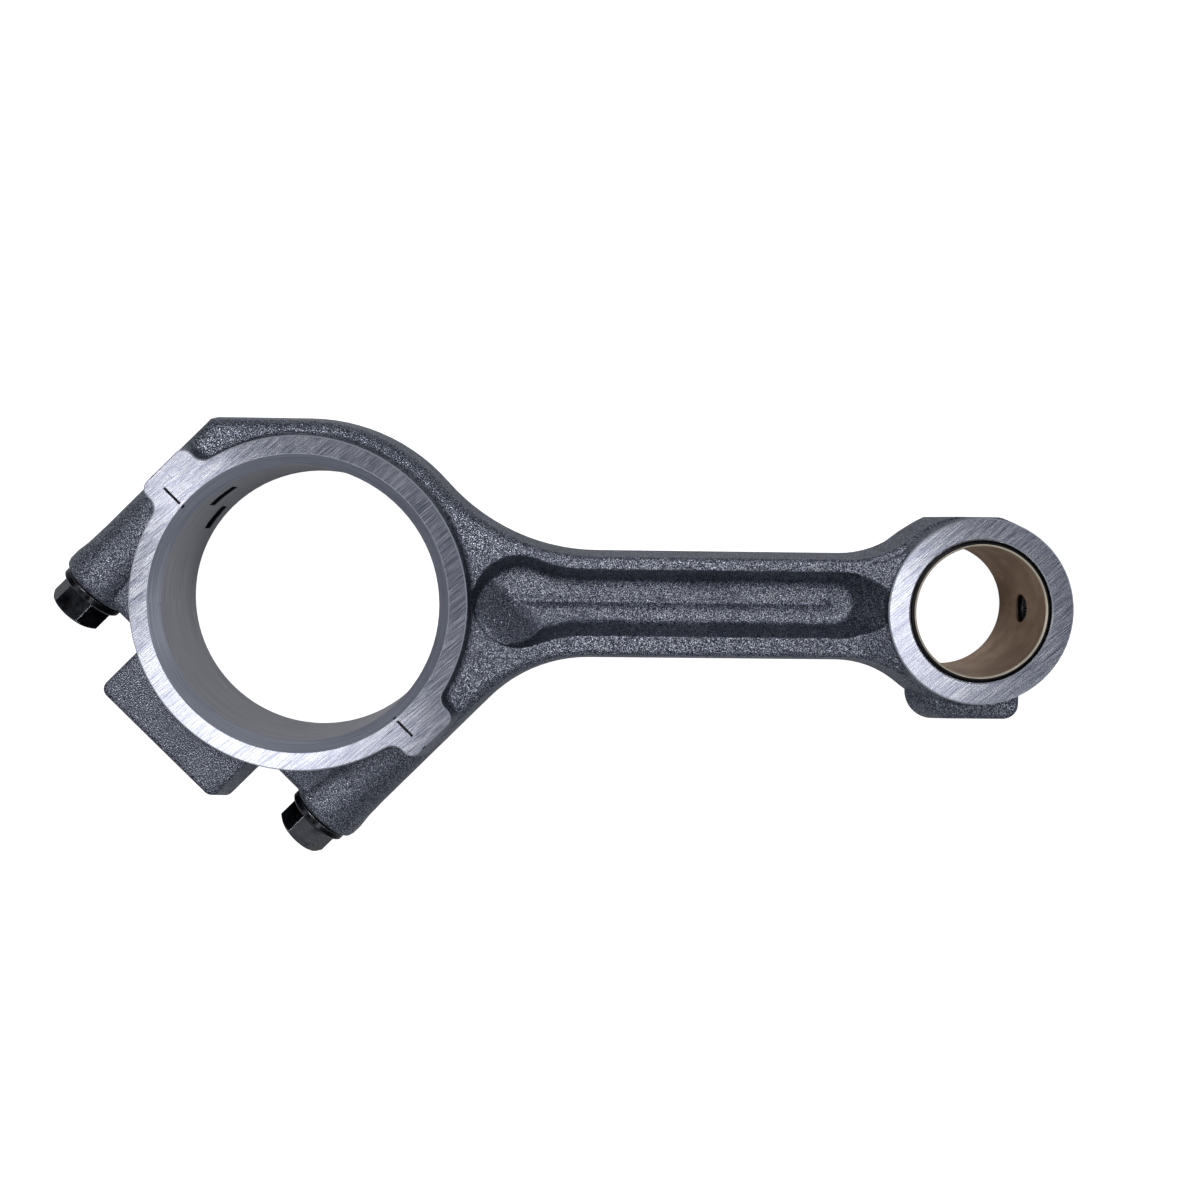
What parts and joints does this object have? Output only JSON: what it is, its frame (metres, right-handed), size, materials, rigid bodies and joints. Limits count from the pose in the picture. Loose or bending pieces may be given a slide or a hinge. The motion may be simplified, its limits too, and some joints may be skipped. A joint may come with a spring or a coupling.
{
  "type": "connecting rod",
  "caption": "Forged connecting rod with a bearing cap split off at 45 degrees, flanged cap bolts, a bronze pin bushing and a pocketed I-beam shank.",
  "frame": {"origin": "centre of the big-end bore at mid width", "axes": "+Z along the big-end and pin bores, +X from the big end to the small end"},
  "size_m": [0.3128, 0.135, 0.04],
  "materials": {
    "forged_steel": "dark shot-blasted forging with ground side faces and bored holes",
    "bolt_steel": "black oxide, oiled, glossy",
    "bronze": "bored bearing bronze, brown"
  },
  "bodies": {
    "rod": {"rod_body": "forged_steel", "pin_bushing": "bronze"},
    "cap": {"bearing_cap": "forged_steel"},
    "upper_bolt": {"cap_bolt_upper": "bolt_steel"},
    "lower_bolt": {"cap_bolt_lower": "bolt_steel"}
  },
  "joints": [
    {"name": "cap_lift", "type": "slide", "parent": "rod", "child": "cap", "axis": [-0.7071, -0.7071, 0], "range_m": [0, 0.024]},
    {"name": "upper_bolt_turn", "type": "hinge", "parent": "cap", "child": "upper_bolt", "pos_m": [-0.06604, 0.00325, 0], "axis": [-0.7071, -0.7071, 0], "range_deg": [0, 6912.1]},
    {"name": "lower_bolt_turn", "type": "hinge", "parent": "cap", "child": "lower_bolt", "pos_m": [0.00325, -0.06604, 0], "axis": [-0.7071, -0.7071, 0], "range_deg": [0, 6912.1]}
  ],
  "couplings": [
    {"joint": "upper_bolt_turn", "follows": "cap_lift", "rad_per_m": 5026.5},
    {"joint": "lower_bolt_turn", "follows": "cap_lift", "rad_per_m": 5026.5}
  ]
}
